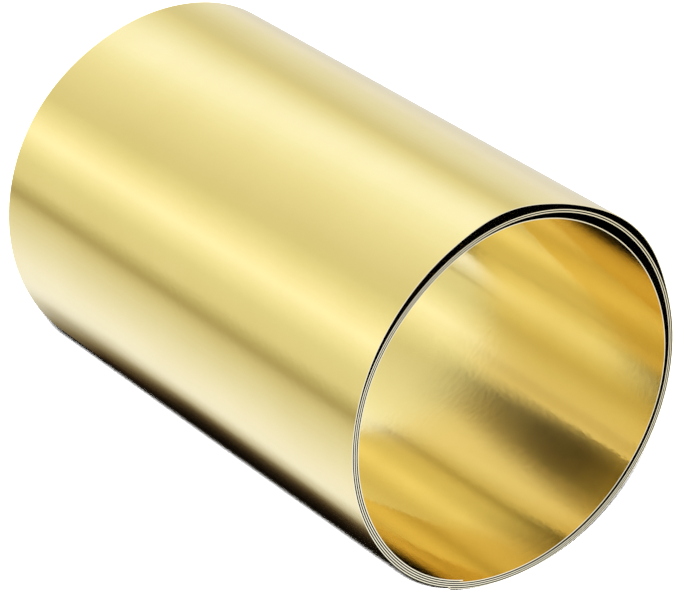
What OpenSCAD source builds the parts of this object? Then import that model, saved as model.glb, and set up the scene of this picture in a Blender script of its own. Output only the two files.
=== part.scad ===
// Roll of thin brass sheet, wound loosely and lying on its side.
// X runs across the roll, Y along its axis from the front end to the far end, and Z is up.
// The origin is on the floor, under the middle of the roll.
// Angles go counter-clockwise from the right, seen from the front end.

/* [Sheet] */
// Width of the sheet, which is the length of the roll
sheet_w = 150; // [50:10:300]
// Thickness of the sheet
sheet_t = 0.25; // [0.2:0.05:0.4]

/* [Winding] */
// Number of turns, from the outer edge of the sheet inwards to its inner edge
turns = 4.01; // [3.85:0.01:4.15]
// Distance from the axis to the middle of the winding
mean_r = 47.8; // [40:0.1:70]
// Air between two turns that lie close
air = 0.3; // [0.2:0.02:0.5]
// Angle of the sheet's outer edge
edge_at = -112; // [-125:1:-100]
// How much further the roll reaches up and down than a round one
oval = 0.4; // [0:0.1:1]

/* [All turns, pressed flatter on the upper left] */
// Angle of the flat place
flat_at = 126; // [115:1:140]
// Angle that it spans
flat_span = 72; // [60:1:90]
// Depth of it
flat_depth = 0.5; // [0:0.05:0.6]

/* [All turns, bellied out on the lower left] */
// Angle of the belly
belly_at = -121; // [-130:1:-110]
// Angle that it spans
belly_span = 68; // [60:1:100]
// Lift of the sheet there
belly_lift = 0.5; // [0:0.1:1]

/* [Three outer turns, slack on the lower right] */
// Angle of the middle of the slack
slack_at = -32; // [-40:1:-25]
// Angle that it spans
slack_span = 158; // [130:1:160]
// Lift of the sheet there
slack_lift = 0.65; // [0:0.05:0.8]

/* [Outer turn, sprung open over the top of the front end] */
// Angle of the middle of the gap
crown_at = 106; // [100:1:112]
// Angle that the gap spans
crown_span = 136; // [120:1:150]
// Lift of the sheet there
crown_lift = 1.75; // [0:0.05:2.5]
// Angle of the bend at the crest of the gap
crest_at = 95; // [90:1:100]
// Angle that the bend spans
crest_span = 38; // [36:1:60]
// Lift of the bend
crest_lift = 0.6; // [0:0.05:1]
// Angle of the bend at the shoulder
shoulder_at = 43; // [38:1:50]
// Angle that the bend spans
shoulder_span = 60; // [50:1:70]
// Lift of the bend
shoulder_lift = 1.3; // [0:0.1:1.5]

/* [Inner turn, sprung flat towards the axis] */
// Angle of the middle of the flat lap
lap_at = 46; // [40:1:50]
// Angle that it spans
lap_span = 132; // [120:1:140]
// Drop of the sheet there
lap_drop = 1.85; // [0:0.05:2.5]

/* [All turns, lower over the top of the far end] */
// Angle of the low place
low_at = 98; // [90:1:106]
// Angle that it spans
low_span = 96; // [90:1:120]
// Depth of it
low_depth = 1.35; // [0:0.05:2]

/* [Hidden] */

facet_a = 5;
steps = ceil(turns * 360 / facet_a);
pitch = sheet_t + air;

// Loose places, each an angle counted on from the right of the outer turn, a span,
// and the lift of the sheet there at the front end and at the far end
LOOSE = concat(
    [
        [crown_at, crown_span, crown_lift, 0],
        [crest_at, crest_span, crest_lift, 0],
        [shoulder_at, shoulder_span, shoulder_lift, 0],
        [lap_at + 3 * 360, lap_span, -lap_drop, -lap_drop]
    ],
    [for (turn = [0:2]) [slack_at + turn * 360, slack_span, slack_lift, slack_lift]],
    [for (turn = [0:3]) [flat_at + turn * 360, flat_span, -flat_depth, -flat_depth]],
    [for (turn = [0:3]) [low_at + turn * 360, low_span, 0, -low_depth]],
    [for (turn = [0:4]) [belly_at + turn * 360, belly_span, belly_lift, belly_lift]]
);

function sum(list) = list * [for (item = list) 1];
function way(a) = [cos(a), sin(a)];

// A smooth hump, 1 high in its middle and gone at its ends, and its slope per radian
function hump(x, span) = abs(x) < span / 2 ? (1 + cos(360 * x / span)) / 2 : 0;
function hump_slope(x, span) = abs(x) < span / 2 ? -180 / span * sin(360 * x / span) : 0;

// Distance from the axis to the middle of the sheet, and its slope per radian.
// The end is 0 at the front and 1 at the far end.
function reach(a, end) =
    mean_r - pitch * ((a - edge_at) / 360 - turns / 2) - oval * cos(2 * a)
    + sum([for (p = LOOSE) p[2 + end] * hump(a - p[0], p[1])]);
function reach_slope(a, end) =
    -pitch / (2 * PI) + 2 * oval * sin(2 * a)
    + sum([for (p = LOOSE) p[2 + end] * hump_slope(a - p[0], p[1])]);

// A point on one face of the sheet, square to its middle: side is 1 outside and -1 inside
function square_to(a, end) = reach(a, end) * way(a) - reach_slope(a, end) * way(a + 90);
function spot(a, side, end) =
    reach(a, end) * way(a)
    + side * sheet_t / 2 * square_to(a, end) / norm(square_to(a, end));
function angle_of(i) = edge_at + i * turns * 360 / steps;

// The sheet's corners: its outer and then its inner face, at the front and then at the far end
corners = [
    for (end = [0, 1]) for (side = [1, -1]) for (i = [0:steps])
        let (p = spot(angle_of(i), side, end)) [p.x, (end - 0.5) * sheet_w, p.y]
];
function corner(i, inner, end) = (2 * end + inner) * (steps + 1) + i;

across = [for (p = corners) p.x];
middle_x = (min(across) + max(across)) / 2;
floor_z = min([for (p = corners) p.z]);

// One strip of the sheet, with its outer face and inner face bent along the same diagonal,
// and the two cut edges at its ends
function strip(i, j) = [
    [corner(i, 0, 0), corner(j, 0, 0), corner(j, 0, 1)],
    [corner(i, 0, 0), corner(j, 0, 1), corner(i, 0, 1)],
    [corner(i, 1, 0), corner(j, 1, 1), corner(j, 1, 0)],
    [corner(i, 1, 0), corner(i, 1, 1), corner(j, 1, 1)],
    [corner(i, 0, 0), corner(i, 1, 0), corner(j, 1, 0), corner(j, 0, 0)],
    [corner(j, 0, 1), corner(j, 1, 1), corner(i, 1, 1), corner(i, 0, 1)]
];

// The sheet's outer and inner edge
outer_edge = [corner(0, 0, 0), corner(0, 0, 1), corner(0, 1, 1), corner(0, 1, 0)];
inner_edge = [corner(steps, 0, 0), corner(steps, 1, 0), corner(steps, 1, 1), corner(steps, 0, 1)];

// The sheet, lofted from its section at the front end to its section at the far end
module brass_sheet() {
    color("#dcc46a")
        translate([-middle_x, 0, -floor_z])
            polyhedron(
                points = corners,
                faces = concat(
                    [for (i = [0:steps - 1]) each strip(i, i + 1)],
                    [outer_edge, inner_edge]
                )
            );
}

brass_sheet();
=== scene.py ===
# %% [markdown]
# # A loose roll of brass sheet
# A strip of thin brass, 150 mm wide and about 1.2 m long, is wound into a roll of four turns.
# It has no core and no tie, so it has sprung open as far as its own bend lets it, and the
# gaps between the turns show on its ends. Everything here is that one sheet, and how it looks
# depends on two things: the exact bend of the sheet, and what stands round it to be mirrored.
# The script bends the sheet first, then makes the metal, then the floor, the lamp and the
# walls of the studio.

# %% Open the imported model
import math

import bpy
from mathutils import Matrix, Vector


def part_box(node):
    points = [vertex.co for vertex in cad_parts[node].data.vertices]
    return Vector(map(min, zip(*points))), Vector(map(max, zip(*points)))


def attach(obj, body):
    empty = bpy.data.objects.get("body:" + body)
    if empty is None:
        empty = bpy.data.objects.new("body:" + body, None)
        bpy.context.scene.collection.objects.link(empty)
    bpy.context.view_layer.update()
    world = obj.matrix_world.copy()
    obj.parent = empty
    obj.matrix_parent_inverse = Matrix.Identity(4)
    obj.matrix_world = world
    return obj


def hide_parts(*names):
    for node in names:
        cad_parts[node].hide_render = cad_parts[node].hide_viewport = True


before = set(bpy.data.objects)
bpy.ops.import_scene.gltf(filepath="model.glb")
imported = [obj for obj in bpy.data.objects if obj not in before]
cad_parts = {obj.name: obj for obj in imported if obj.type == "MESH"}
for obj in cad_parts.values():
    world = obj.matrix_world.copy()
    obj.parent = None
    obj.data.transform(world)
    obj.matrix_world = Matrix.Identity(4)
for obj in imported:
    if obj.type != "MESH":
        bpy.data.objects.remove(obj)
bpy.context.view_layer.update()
print("CAD nodes:", sorted(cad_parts))

# %% [markdown]
# Colours are written as sRGB hex, as a colour picker shows them. Blender's nodes want linear
# numbers, so one function turns the one into the other.

# %% Colours
def hex_colour(code):
    """An sRGB hex colour as linear red, green, blue and alpha."""
    parts = [int(code[i:i + 2], 16) / 255 for i in (1, 3, 5)]
    linear = [c / 12.92 if c <= 0.04045 else ((c + 0.055) / 1.055) ** 2.4 for c in parts]
    return (*linear, 1.0)


print("white in linear numbers:", hex_colour("#ffffff"))

# %% [markdown]
# Every node tree below is put together with one helper. It adds a node, sets its options,
# and fills its inputs: an input is a number or colour, or the output socket that feeds it.

# %% A helper for nodes
def add_node(tree, kind, inputs=None, **options):
    """Adds a node. inputs maps a socket's name or number to a value or to an output socket."""
    node = tree.nodes.new(kind)
    for name, value in options.items():
        setattr(node, name, value)
    for key, value in (inputs or {}).items():
        socket = node.inputs[key]
        if isinstance(value, bpy.types.NodeSocket):
            tree.links.new(value, socket)
        else:
            socket.default_value = value
    return node


def calculate(tree, operation, *values):
    """One Math node, and its result."""
    node = add_node(tree, "ShaderNodeMath", dict(enumerate(values)), operation=operation)
    return node.outputs[0]


print("helpers ready")

# %% [markdown]
# ## The camera
# The photograph was taken from the front left and above, with a long lens, which keeps the
# far end of the roll almost as large as the near one. The place, the aim and the lens were
# found by fitting the roll's two rims to the picture.

# %% Camera
PICTURE_W = 680
FOCAL_LENGTH_PX = 4020.8
SENSOR_W = 36
CAMERA_AT = Vector((-0.52495, -0.72526, 0.51585))
HEADING = math.radians(36.033)
DOWN = math.radians(27.745)

camera_data = bpy.data.cameras.new("camera")
camera_data.sensor_width = SENSOR_W
camera_data.lens = SENSOR_W * FOCAL_LENGTH_PX / PICTURE_W
camera_data.clip_start = 0.01
camera_data.clip_end = 20
camera = bpy.data.objects.new("camera", camera_data)
camera.location = CAMERA_AT
look = Vector((
    math.sin(HEADING) * math.cos(DOWN),
    math.cos(HEADING) * math.cos(DOWN),
    -math.sin(DOWN),
))
camera.rotation_mode = "QUATERNION"
camera.rotation_quaternion = look.to_track_quat("-Z", "Y")
bpy.context.scene.collection.objects.link(camera)
bpy.context.scene.camera = camera
print(f"camera: {camera_data.lens:.0f} mm lens, {CAMERA_AT.length:.2f} m from the roll")

# %% [markdown]
# ## The winding
# The sheet follows a rule: its distance from the axis shrinks by one thickness and one air
# gap a turn, and at a few places it has sprung further out or in. Each loose place is a
# smooth hump: 1 in its middle, gone at its ends. A rule like this is a good case for Geometry
# Nodes. They start from a flat grid, work out for each point how far along the sheet it lies,
# and bend it into place, so that every size stays an input that can be changed.

# %% Sizes of the sheet and its winding
# Metres and degrees. Angles go counter-clockwise from the right, seen from the front end.
SHEET = {
    "Width": 0.150,
    "Thickness": 0.00025,
    "Turns": 4.01,
    "Mean radius": 0.0478,
    "Air": 0.0003,
    "Outer edge": -112.0,
    "Oval": 0.0004,
}

# Loose places: name, first turn, last turn, angle, span, lift in mm at the front and far end
LOOSE = [
    ("Crown", 0, 0, 106, 136, 1.75, 0),
    ("Crest", 0, 0, 95, 38, 0.6, 0),
    ("Shoulder", 0, 0, 43, 60, 1.3, 0),
    ("Inner lap", 3, 3, 46, 132, -1.85, -1.85),
    ("Slack", 0, 2, -32, 158, 0.65, 0.65),
    ("Flat", 0, 3, 126, 72, -0.5, -0.5),
    ("Belly", 0, 4, -121, 68, 0.5, 0.5),
    ("Low far top", 0, 3, 98, 96, 0, -1.35),
]
# How far hand rolling leaves the sheet from true, and how many such waves go to a metre
WAVINESS = 0.00004
WAVES_PER_METRE = 28.0
print(f"{len(LOOSE)} loose places")

# %% [markdown]
# A node group gives one hump. It is used once for each loose place of each turn.

# %% The hump, as a node group
def hump_group():
    group = bpy.data.node_groups.new("Hump", "GeometryNodeTree")
    for name in ("Angle", "At", "Span", "Front lift", "Far lift", "Way to far end"):
        group.interface.new_socket(name, in_out="INPUT", socket_type="NodeSocketFloat")
    group.interface.new_socket("Lift", in_out="OUTPUT", socket_type="NodeSocketFloat")
    given = add_node(group, "NodeGroupInput").outputs
    away = calculate(group, "SUBTRACT", given["Angle"], given["At"])
    inside = calculate(
        group, "LESS_THAN",
        calculate(group, "ABSOLUTE", away),
        calculate(group, "DIVIDE", given["Span"], 2.0),
    )
    share = calculate(group, "MULTIPLY", away, 2 * math.pi)
    turned = calculate(group, "DIVIDE", share, given["Span"])
    shape = calculate(group, "MULTIPLY_ADD", calculate(group, "COSINE", turned), 0.5, 0.5)
    change = calculate(group, "SUBTRACT", given["Far lift"], given["Front lift"])
    lift = calculate(group, "MULTIPLY_ADD", change, given["Way to far end"], given["Front lift"])
    out = calculate(group, "MULTIPLY", calculate(group, "MULTIPLY", shape, inside), lift)
    add_node(group, "NodeGroupOutput", {"Lift": out})
    return group


HUMP = hump_group()
print("hump group:", len(HUMP.nodes), "nodes")

# %% [markdown]
# The tree itself has three parts. The grid is bent round the axis. It is then shifted in by
# half a thickness and extruded outwards, and the grid that it started from is flipped to
# close the inside. Last, the faces are shaded smooth, with sharp edges round the cut ends.
# Two attributes stay for the material: how far along and across the sheet a point lies, in
# metres, as if the sheet were rolled out flat, and whether a face is one of the cut edges.

# %% The winding, as Geometry Nodes
# Columns along the sheet, 1.2 degrees of the winding each, and rows across it, 5 mm each
COLUMNS = 1203
ROWS = 30
WELD = 0.000002
SHARP_FROM = math.radians(40)


def winding_tree(material):
    tree = bpy.data.node_groups.new("Winding", "GeometryNodeTree")
    tree.interface.new_socket("Geometry", in_out="OUTPUT", socket_type="NodeSocketGeometry")
    for name, value in SHEET.items():
        socket = tree.interface.new_socket(name, in_out="INPUT", socket_type="NodeSocketFloat")
        socket.default_value = value
    for name, *_ in LOOSE:
        for part in ("at", "span", "front lift", "far lift"):
            tree.interface.new_socket(
                f"{name} {part}", in_out="INPUT", socket_type="NodeSocketFloat",
            )
    tree.interface.new_socket("Waviness", in_out="INPUT", socket_type="NodeSocketFloat")
    given = add_node(tree, "NodeGroupInput").outputs

    def sums(operation, *values):
        return calculate(tree, operation, *values)

    grid = add_node(tree, "GeometryNodeMeshGrid", {
        "Size X": 1.0, "Size Y": 1.0, "Vertices X": COLUMNS + 1, "Vertices Y": ROWS + 1,
    })
    position = add_node(tree, "GeometryNodeInputPosition").outputs[0]
    place = add_node(tree, "ShaderNodeSeparateXYZ", {0: position})
    share = sums("ADD", place.outputs["X"], 0.5)
    to_far = sums("ADD", place.outputs["Y"], 0.5)
    wound = sums("MULTIPLY", sums("MULTIPLY", share, 360.0), given["Turns"])
    angle = sums("ADD", wound, given["Outer edge"])

    # the plain spiral
    pitch = sums("ADD", given["Thickness"], given["Air"])
    turns_in = sums("SUBTRACT", sums("DIVIDE", wound, 360.0), sums("DIVIDE", given["Turns"], 2.0))
    reach = sums("SUBTRACT", given["Mean radius"], sums("MULTIPLY", pitch, turns_in))
    turn = sums("RADIANS", angle)
    double = sums("COSINE", sums("MULTIPLY", turn, 2.0))
    reach = sums("SUBTRACT", reach, sums("MULTIPLY", given["Oval"], double))

    # its loose places
    for name, first, last, *_ in LOOSE:
        for count in range(first, last + 1):
            hump = add_node(tree, "GeometryNodeGroup", node_tree=HUMP)
            tree.links.new(angle, hump.inputs["Angle"])
            tree.links.new(sums("ADD", given[f"{name} at"], 360.0 * count), hump.inputs["At"])
            tree.links.new(given[f"{name} span"], hump.inputs["Span"])
            tree.links.new(given[f"{name} front lift"], hump.inputs["Front lift"])
            tree.links.new(given[f"{name} far lift"], hump.inputs["Far lift"])
            tree.links.new(to_far, hump.inputs["Way to far end"])
            reach = sums("ADD", reach, hump.outputs["Lift"])

    along = sums("MULTIPLY", sums("RADIANS", wound), given["Mean radius"])
    across = sums("MULTIPLY", place.outputs["Y"], given["Width"])

    # faint waves that hand rolling leaves in thin sheet
    spot = add_node(tree, "ShaderNodeCombineXYZ", {"X": along, "Y": across})
    wave = add_node(tree, "ShaderNodeTexNoise", {
        "Vector": spot.outputs[0], "Scale": WAVES_PER_METRE, "Detail": 1.0, "Roughness": 0.4,
    }, noise_dimensions="3D")
    ripple = sums("MULTIPLY", sums("SUBTRACT", wave.outputs[0], 0.5), given["Waviness"])
    reach = sums("ADD", reach, ripple)

    bent = add_node(tree, "ShaderNodeCombineXYZ", {
        "X": sums("MULTIPLY", reach, sums("COSINE", turn)),
        "Y": across,
        "Z": sums("MULTIPLY", reach, sums("SINE", turn)),
    })
    marked = add_node(tree, "GeometryNodeStoreNamedAttribute", {
        "Geometry": grid.outputs["Mesh"], "Name": "sheet_place", "Value": spot.outputs[0],
    }, data_type="FLOAT_VECTOR", domain="POINT")
    wrapped = add_node(tree, "GeometryNodeSetPosition", {
        "Geometry": marked.outputs[0], "Position": bent.outputs[0],
    })
    outward = add_node(tree, "GeometryNodeFlipFaces", {"Mesh": wrapped.outputs[0]})

    # its thickness, with the cut edges marked for the material
    normal = add_node(tree, "GeometryNodeInputNormal").outputs[0]
    half_in = add_node(tree, "ShaderNodeVectorMath", {
        0: normal, "Scale": sums("MULTIPLY", given["Thickness"], -0.5),
    }, operation="SCALE")
    inner = add_node(tree, "GeometryNodeSetPosition", {
        "Geometry": outward.outputs[0], "Offset": half_in.outputs[0],
    })
    outer = add_node(tree, "GeometryNodeExtrudeMesh", {
        "Mesh": inner.outputs[0], "Offset Scale": given["Thickness"], "Individual": False,
    }, mode="FACES")
    cut = add_node(tree, "GeometryNodeStoreNamedAttribute", {
        "Geometry": outer.outputs["Mesh"], "Name": "cut_edge", "Value": outer.outputs["Side"],
    }, data_type="FLOAT", domain="FACE")
    inside = add_node(tree, "GeometryNodeFlipFaces", {"Mesh": inner.outputs[0]})
    both = add_node(tree, "GeometryNodeJoinGeometry")
    tree.links.new(cut.outputs[0], both.inputs[0])
    tree.links.new(inside.outputs[0], both.inputs[0])
    welded = add_node(tree, "GeometryNodeMergeByDistance", {
        "Geometry": both.outputs[0], "Distance": WELD,
    })

    # smooth faces, sharp cut edges
    smooth = add_node(tree, "GeometryNodeSetShadeSmooth", {
        "Geometry": welded.outputs[0],
    }, domain="FACE")
    bend = add_node(tree, "GeometryNodeInputMeshEdgeAngle").outputs["Unsigned Angle"]
    sharp = add_node(tree, "FunctionNodeCompare", {
        0: bend, 1: SHARP_FROM,
    }, data_type="FLOAT", operation="GREATER_THAN")
    edged = add_node(tree, "GeometryNodeSetShadeSmooth", {
        "Geometry": smooth.outputs[0], "Selection": sharp.outputs[0], "Shade Smooth": False,
    }, domain="EDGE")
    real = add_node(tree, "GeometryNodeRealizeInstances", {"Geometry": edged.outputs[0]})
    finished = add_node(tree, "GeometryNodeSetMaterial", {
        "Geometry": real.outputs[0], "Material": material,
    })
    add_node(tree, "NodeGroupOutput", {"Geometry": finished.outputs[0]})
    return tree


print("grid:", COLUMNS, "by", ROWS)

# %% [markdown]
# ## The metal
# Sheet brass is rolled between polished steel rolls. That leaves it bright, with a fine grain
# of scratches along the rolling direction, which is along the strip and so round the roll.
# Such grain smears each reflection square to itself, along the roll, and the long soft streaks
# on it come from that. The shader's anisotropy does the same: its tangent runs round the
# roll's axis, and a quarter of a turn sets the smear across it. Handling adds faint clouds of
# duller metal and shallow dimples.

# %% Rolled brass
# How many go to a metre of sheet. Clouds are about 22 mm across, and dimples 1.5 mm. The real
# grain is too fine to show, so it is drawn as lines 17 mm long and half a millimetre apart.
CLOUDS_PER_METRE = 45.0
GRAIN_PER_METRE = (60.0, 2000.0, 1.0)
DIMPLES_PER_METRE = 650.0
DIMPLE_DEPTH = 0.00002
GRAIN_DEPTH = 0.00005


def rolled_brass():
    """Rolled sheet brass: bright, pale gold, with its grain round the roll."""
    material = bpy.data.materials.new("rolled brass")
    material.use_nodes = True
    tree = material.node_tree
    tree.nodes.clear()
    place = add_node(tree, "ShaderNodeAttribute", attribute_name="sheet_place").outputs["Vector"]

    # clouds of slightly paler and deeper metal, which keep the long faces from looking plated
    clouds = add_node(tree, "ShaderNodeTexNoise", {
        "Vector": place, "Scale": CLOUDS_PER_METRE, "Detail": 4.0, "Roughness": 0.6,
    })
    tone = add_node(tree, "ShaderNodeMix", {
        0: clouds.outputs[0], 6: hex_colour("#f7e4a6"), 7: hex_colour("#f2dd9a"),
    }, data_type="RGBA")
    # the cut edges are painted paler than the rolled faces, a painted highlight that makes them show
    # as bright lines
    edge = add_node(tree, "ShaderNodeAttribute", attribute_name="cut_edge").outputs["Fac"]
    colour = add_node(tree, "ShaderNodeMix", {
        0: edge, 6: tone.outputs[2], 7: hex_colour("#fdf0c4"),
    }, data_type="RGBA")

    # grain: fine lines along the strip, which break up the shine
    stretched = add_node(tree, "ShaderNodeMapping", {"Vector": place, "Scale": GRAIN_PER_METRE})
    grain = add_node(tree, "ShaderNodeTexNoise", {
        "Vector": stretched.outputs[0], "Scale": 1.0, "Detail": 3.0, "Roughness": 0.6,
    })
    dull = add_node(tree, "ShaderNodeMapRange", {
        "Value": clouds.outputs[0], "From Min": 0.3, "From Max": 0.7, "To Min": 0.075, "To Max": 0.10,
    })
    rough = calculate(tree, "MULTIPLY_ADD", grain.outputs[0], 0.02, dull.outputs[0])
    lines = add_node(tree, "ShaderNodeBump", {
        "Height": grain.outputs[0], "Strength": 0.05, "Distance": GRAIN_DEPTH,
    })
    # dimples from handling, which make the long reflections waver
    dimples = add_node(tree, "ShaderNodeTexNoise", {
        "Vector": place, "Scale": DIMPLES_PER_METRE, "Detail": 2.0, "Roughness": 0.5,
    })
    dented = add_node(tree, "ShaderNodeBump", {
        "Height": dimples.outputs[0], "Strength": 0.6, "Distance": DIMPLE_DEPTH,
        "Normal": lines.outputs[0],
    })
    round_axis = add_node(tree, "ShaderNodeTangent", direction_type="RADIAL", axis="Y")
    metal = add_node(tree, "ShaderNodeBsdfPrincipled", {
        "Base Color": colour.outputs[2], "Metallic": 1.0, "Roughness": rough,
        "Normal": dented.outputs[0], "Tangent": round_axis.outputs[0],
        "Anisotropic": 1.0, "Anisotropic Rotation": 0.25,
    })
    add_node(tree, "ShaderNodeOutputMaterial", {"Surface": metal.outputs[0]})
    return material


BRASS = rolled_brass()
print("material:", BRASS.name)

# %% [markdown]
# The tree's inputs are set by their identifiers, because two inputs may share a name but
# never an identifier. The result is then made a plain mesh and moved onto the CAD solid's
# place, with the lowest turn on the floor.

# %% The sheet
def set_input(modifier, name, value):
    for item in modifier.node_group.interface.items_tree:
        if item.item_type == "SOCKET" and item.in_out == "INPUT" and item.name == name:
            modifier[item.identifier] = value
            return
    raise KeyError(name)


seed = bpy.data.objects.new("sheet seed", bpy.data.meshes.new("sheet seed"))
bpy.context.scene.collection.objects.link(seed)
winding = seed.modifiers.new("Winding", "NODES")
winding.node_group = winding_tree(BRASS)
for name, value in SHEET.items():
    set_input(winding, name, value)
for name, _, _, at, span, front, far in LOOSE:
    set_input(winding, f"{name} at", float(at))
    set_input(winding, f"{name} span", float(span))
    set_input(winding, f"{name} front lift", front / 1000)
    set_input(winding, f"{name} far lift", far / 1000)
set_input(winding, "Waviness", WAVINESS)

depsgraph = bpy.context.evaluated_depsgraph_get()
mesh = bpy.data.meshes.new_from_object(seed.evaluated_get(depsgraph), depsgraph=depsgraph)
seed.modifiers.remove(winding)
bpy.data.objects.remove(seed)

cad_low, cad_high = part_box("brass_sheet")
low_x = min(v.co.x for v in mesh.vertices)
high_x = max(v.co.x for v in mesh.vertices)
low_z = min(v.co.z for v in mesh.vertices)
mesh.transform(Matrix.Translation((
    (cad_low.x + cad_high.x - low_x - high_x) / 2, 0, cad_low.z - low_z,
)))
mesh.name = "brass sheet"
brass_sheet = bpy.data.objects.new("brass_sheet_wound", mesh)
bpy.context.scene.collection.objects.link(brass_sheet)
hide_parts("brass_sheet")
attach(brass_sheet, "root")
print("sheet:", len(mesh.polygons), "faces, moved by",
      round((cad_low.x + cad_high.x - low_x - high_x) / 2, 5), round(cad_low.z - low_z, 5))

# %% [markdown]
# ## The studio
# The floor is plain white card. Bright metal has hardly any colour of its own in a picture:
# it shows what stands round it. So the metal sees the floor as a photographer lights it: a
# pool of light, brightest by the roll and fading to the left, and the roll's own shade. The
# camera sees plain white with the lamp's shadow on it. The floor is a grid, because the shade
# is stored on its points and blends from one to the next.

# %% Floor
FLOOR_LEFT, FLOOR_RIGHT, FLOOR_NEAR, FLOOR_FAR = -0.195, 0.7, -0.9, 0.9
# A hair below the roll, so that the two surfaces don't share a plane
FLOOR_Z = -0.0001
# How white the card is to the camera, and to light that it sends on to the roll
CARD_SEEN = 2.0
CARD_SENT_ON = 0.02

# The floor lies in the roll's own shade: under it, along its left foot, and behind it where
# its shadow falls. Each row is a place along the roll and the shade at each place across it,
# from 0 in the light to 1.
SHADE_X = (-0.053, -0.045, -0.0426, -0.039, -0.033, -0.028, -0.010, 0.010, 0.040, 0.100, 0.115)
IN_THE_LIGHT = (0.0,) * len(SHADE_X)
SHADE_ROWS = [
    (-0.074, IN_THE_LIGHT),
    (-0.070, (0.0, 0.45, 0.78, 0.95, 0.99, 1.0, 1.0, 1.0, 1.0, 0.0, 0.0)),
    (0.030, (0.0, 0.45, 0.78, 0.95, 0.99, 1.0, 1.0, 1.0, 1.0, 1.0, 0.0)),
    (0.070, (0.0, 0.28, 0.45, 0.70, 0.91, 0.98, 1.0, 1.0, 1.0, 1.0, 0.0)),
    (0.095, (0.0, 0.12, 0.25, 0.47, 0.62, 0.75, 0.95, 1.0, 1.0, 1.0, 0.0)),
    (0.120, (0.0, 0.0, 0.0, 0.0, 0.0, 0.1, 0.6, 1.0, 1.0, 1.0, 0.0)),
    (0.160, (0.0, 0.0, 0.0, 0.0, 0.0, 0.0, 0.0, 0.4, 1.0, 1.0, 0.0)),
    (0.190, IN_THE_LIGHT),
]
# What the shade leaves of the light: shade, and linear colour
SHADED = [
    (0.0, 1.0, 1.0, 1.0), (0.25, 0.75, 0.72, 0.61), (0.50, 0.51, 0.467, 0.351),
    (0.71, 0.29, 0.234, 0.122), (0.82, 0.18, 0.131, 0.061), (0.95, 0.05, 0.028, 0.010),
    (0.98, 0.015, 0.0084, 0.0038), (1.0, 0.004, 0.0028, 0.0015),
]

# The pool of light on the floor as the metal sees it: place across, and linear colour
POOL = [
    (FLOOR_LEFT, 0.48, 0.44, 0.28), (-0.165, 0.66, 0.64, 0.48), (-0.140, 0.77, 0.77, 0.64),
    (-0.100, 0.87, 0.91, 0.92), (-0.066, 1.00, 1.07, 1.31), (0.0, 1.00, 1.07, 1.31),
    (0.2, 0.80, 0.80, 0.80),
]


def set_stops(ramp, stops):
    """Fills a colour ramp. Colours are halved, because a ramp ends at 1 and the light doesn't."""
    while len(ramp.elements) > 1:
        ramp.elements.remove(ramp.elements[-1])
    for count, (place, red, green, blue) in enumerate(stops):
        stop = ramp.elements[0] if count == 0 else ramp.elements.new(place)
        stop.position = place
        stop.color = (red / 2, green / 2, blue / 2, 1)


def white_card():
    """White to the camera, and the pool and shade to rays that the metal mirrors."""
    material = bpy.data.materials.new("white card")
    material.use_nodes = True
    tree = material.node_tree
    tree.nodes.clear()
    rays = add_node(tree, "ShaderNodeLightPath")
    level = add_node(tree, "ShaderNodeMix", {
        0: rays.outputs["Is Camera Ray"], 2: CARD_SENT_ON, 3: CARD_SEEN,
    }, data_type="FLOAT")
    card = add_node(tree, "ShaderNodeBsdfDiffuse", {"Color": level.outputs[0]})

    place = add_node(tree, "ShaderNodeTexCoord").outputs["Object"]
    across = add_node(tree, "ShaderNodeSeparateXYZ", {0: place}).outputs["X"]
    first, last = POOL[0][0], POOL[-1][0]
    share = add_node(tree, "ShaderNodeMapRange", {
        "Value": across, "From Min": first, "From Max": last,
    })
    pool = add_node(tree, "ShaderNodeValToRGB", {0: share.outputs[0]})
    set_stops(pool.color_ramp, [((x - first) / (last - first), *colour) for x, *colour in POOL])
    shade = add_node(tree, "ShaderNodeAttribute", attribute_name="shade").outputs["Fac"]
    shaded = add_node(tree, "ShaderNodeValToRGB", {0: shade})
    set_stops(shaded.color_ramp, SHADED)
    darkened = add_node(tree, "ShaderNodeVectorMath", {
        0: pool.outputs[0], 1: shaded.outputs[0],
    }, operation="MULTIPLY")
    # both ramps hold halves, so their product is a quarter
    glow = add_node(tree, "ShaderNodeEmission", {"Color": darkened.outputs[0], "Strength": 4.0})

    # rays that have met a matt surface are left out, or the glow would light the floor again
    deep = calculate(tree, "MINIMUM", rays.outputs["Diffuse Depth"], 1.0)
    mirrored = calculate(
        tree, "MAXIMUM", rays.outputs["Is Glossy Ray"], rays.outputs["Is Transmission Ray"],
    )
    mirrored = calculate(tree, "MULTIPLY", mirrored, calculate(tree, "SUBTRACT", 1.0, deep))
    seen = add_node(tree, "ShaderNodeMixShader", {0: mirrored, 1: card.outputs[0], 2: glow.outputs[0]})
    add_node(tree, "ShaderNodeOutputMaterial", {"Surface": seen.outputs[0]})
    return material


rows = [(FLOOR_NEAR, IN_THE_LIGHT), *SHADE_ROWS, (FLOOR_FAR, IN_THE_LIGHT)]
places = (FLOOR_LEFT, *SHADE_X, FLOOR_RIGHT)
floor_mesh = bpy.data.meshes.new("floor")
floor_mesh.from_pydata(
    [(x, y, FLOOR_Z) for y, _ in rows for x in places], [],
    [
        (i, i + 1, i + 1 + len(places), i + len(places))
        for row in range(len(rows) - 1)
        for i in range(row * len(places), (row + 1) * len(places) - 1)
    ],
)
shades = [shade for _, across in rows for shade in (0.0, *across, 0.0)]
floor_mesh.attributes.new("shade", "FLOAT", "POINT").data.foreach_set("value", shades)
floor = bpy.data.objects.new("floor", floor_mesh)
floor.data.materials.append(white_card())
bpy.context.scene.collection.objects.link(floor)
print("floor:", round(FLOOR_RIGHT - FLOOR_LEFT, 3), "by", FLOOR_FAR - FLOOR_NEAR, "m")

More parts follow.
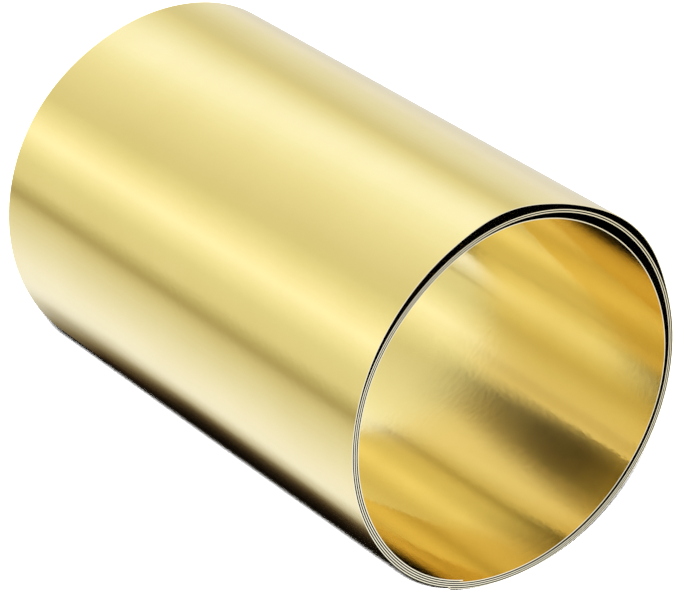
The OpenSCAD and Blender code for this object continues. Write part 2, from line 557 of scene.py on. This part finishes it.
# %% [markdown]
# The lamp stands behind the camera, a little higher and a little to its left. So the roll
# hides nearly all of its own shadow, which falls back to the right, and only a narrow strip
# of it shows along the left foot. The metal mirrors the walls, not the lamp, so the lamp is
# kept out of its reflections.

# %% Lamp
LAMP_AT = Vector((-1.276, -1.668, 1.45))
LAMP_SIZE = 0.16
LAMP_POWER = 175

key_data = bpy.data.lights.new("softbox in front", "AREA")
key_data.shape = "RECTANGLE"
key_data.size = LAMP_SIZE
key_data.size_y = LAMP_SIZE
key_data.energy = LAMP_POWER
key = bpy.data.objects.new("softbox in front", key_data)
key.location = LAMP_AT
key.rotation_mode = "QUATERNION"
key.rotation_quaternion = LAMP_AT.to_track_quat("Z", "Y")
key.visible_glossy = False
bpy.context.scene.collection.objects.link(key)
print(f"lamp: {LAMP_POWER} W, {LAMP_AT.length:.2f} m from the roll")

# %% [markdown]
# The walls of the studio are a world of soft boxes: long bands of light and shade beside and
# above the roll, blurred into each other. Both the outside and the bore mirror them, the bore
# several times over, which makes it a deeper gold. The camera sees plain white, and matt
# surfaces get only a little light from it, so that the shadow stays dark.

# %% Walls
# Angle round the roll's axis, 0 right, 90 above and 180 left, and linear colour
BANDS = [
    (0, 0.88, 0.90, 0.92), (15, 0.84, 0.87, 0.79), (24, 0.78, 0.78, 0.65), (30, 0.74, 0.74, 0.57),
    (36, 0.75, 0.74, 0.56), (42, 0.84, 0.85, 0.65), (51, 0.92, 0.96, 0.88), (60, 1.02, 1.09, 1.15),
    (69, 1.08, 1.17, 1.34), (78, 1.09, 1.18, 1.34), (87, 1.02, 1.09, 1.06), (96, 0.96, 0.99, 0.87),
    (108, 0.88, 0.90, 0.74), (123, 0.80, 0.80, 0.62), (132, 0.79, 0.79, 0.58), (141, 0.91, 0.92, 0.71),
    (150, 1.05, 1.08, 0.94), (159, 1.14, 1.20, 1.20), (168, 1.00, 1.03, 0.87), (177, 0.84, 0.86, 0.67),
    (190, 0.82, 0.82, 0.63), (195, 0.64, 0.62, 0.42), (200, 0.46, 0.42, 0.24), (210, 0.46, 0.42, 0.24),
    (230, 0.7, 0.7, 0.6), (300, 0.7, 0.7, 0.6), (335, 0.80, 0.83, 0.90), (360, 0.88, 0.90, 0.92),
]
# What the walls add to the light on the floor
FILL = 0.004

world = bpy.data.worlds.new("studio")
bpy.context.scene.world = world
world.use_nodes = True
world.cycles.sampling_method = "NONE"
sky = world.node_tree
sky.nodes.clear()
direction = add_node(sky, "ShaderNodeTexCoord").outputs["Generated"]
way = add_node(sky, "ShaderNodeSeparateXYZ", {0: direction})
angle_round = calculate(sky, "ARCTAN2", way.outputs["Z"], way.outputs["X"])
turned = calculate(sky, "FRACT", calculate(sky, "DIVIDE", angle_round, 2 * math.pi))
bands = add_node(sky, "ShaderNodeValToRGB", {0: turned})
set_stops(bands.color_ramp, [(angle / 360, *colour) for angle, *colour in BANDS])
boxes = add_node(sky, "ShaderNodeBackground", {"Color": bands.outputs[0], "Strength": 2.0})
plain = add_node(sky, "ShaderNodeBackground", {"Color": (1, 1, 1, 1), "Strength": 1.0})
fill = add_node(sky, "ShaderNodeBackground", {"Color": (1, 1, 1, 1), "Strength": FILL})
rays = add_node(sky, "ShaderNodeLightPath")
matt = calculate(sky, "MINIMUM", rays.outputs["Diffuse Depth"], 1.0)
lit = add_node(sky, "ShaderNodeMixShader", {0: matt, 1: boxes.outputs[0], 2: fill.outputs[0]})
mixed = add_node(sky, "ShaderNodeMixShader", {
    0: rays.outputs["Is Camera Ray"], 1: lit.outputs[0], 2: plain.outputs[0],
})
add_node(sky, "ShaderNodeOutputWorld", {"Surface": mixed.outputs[0]})
print("world:", len(BANDS), "stops")

# %% [markdown]
# ## The picture
# The colours are shown as they are, with no film look.

# %% Finish
bpy.context.scene.view_settings.view_transform = "Standard"
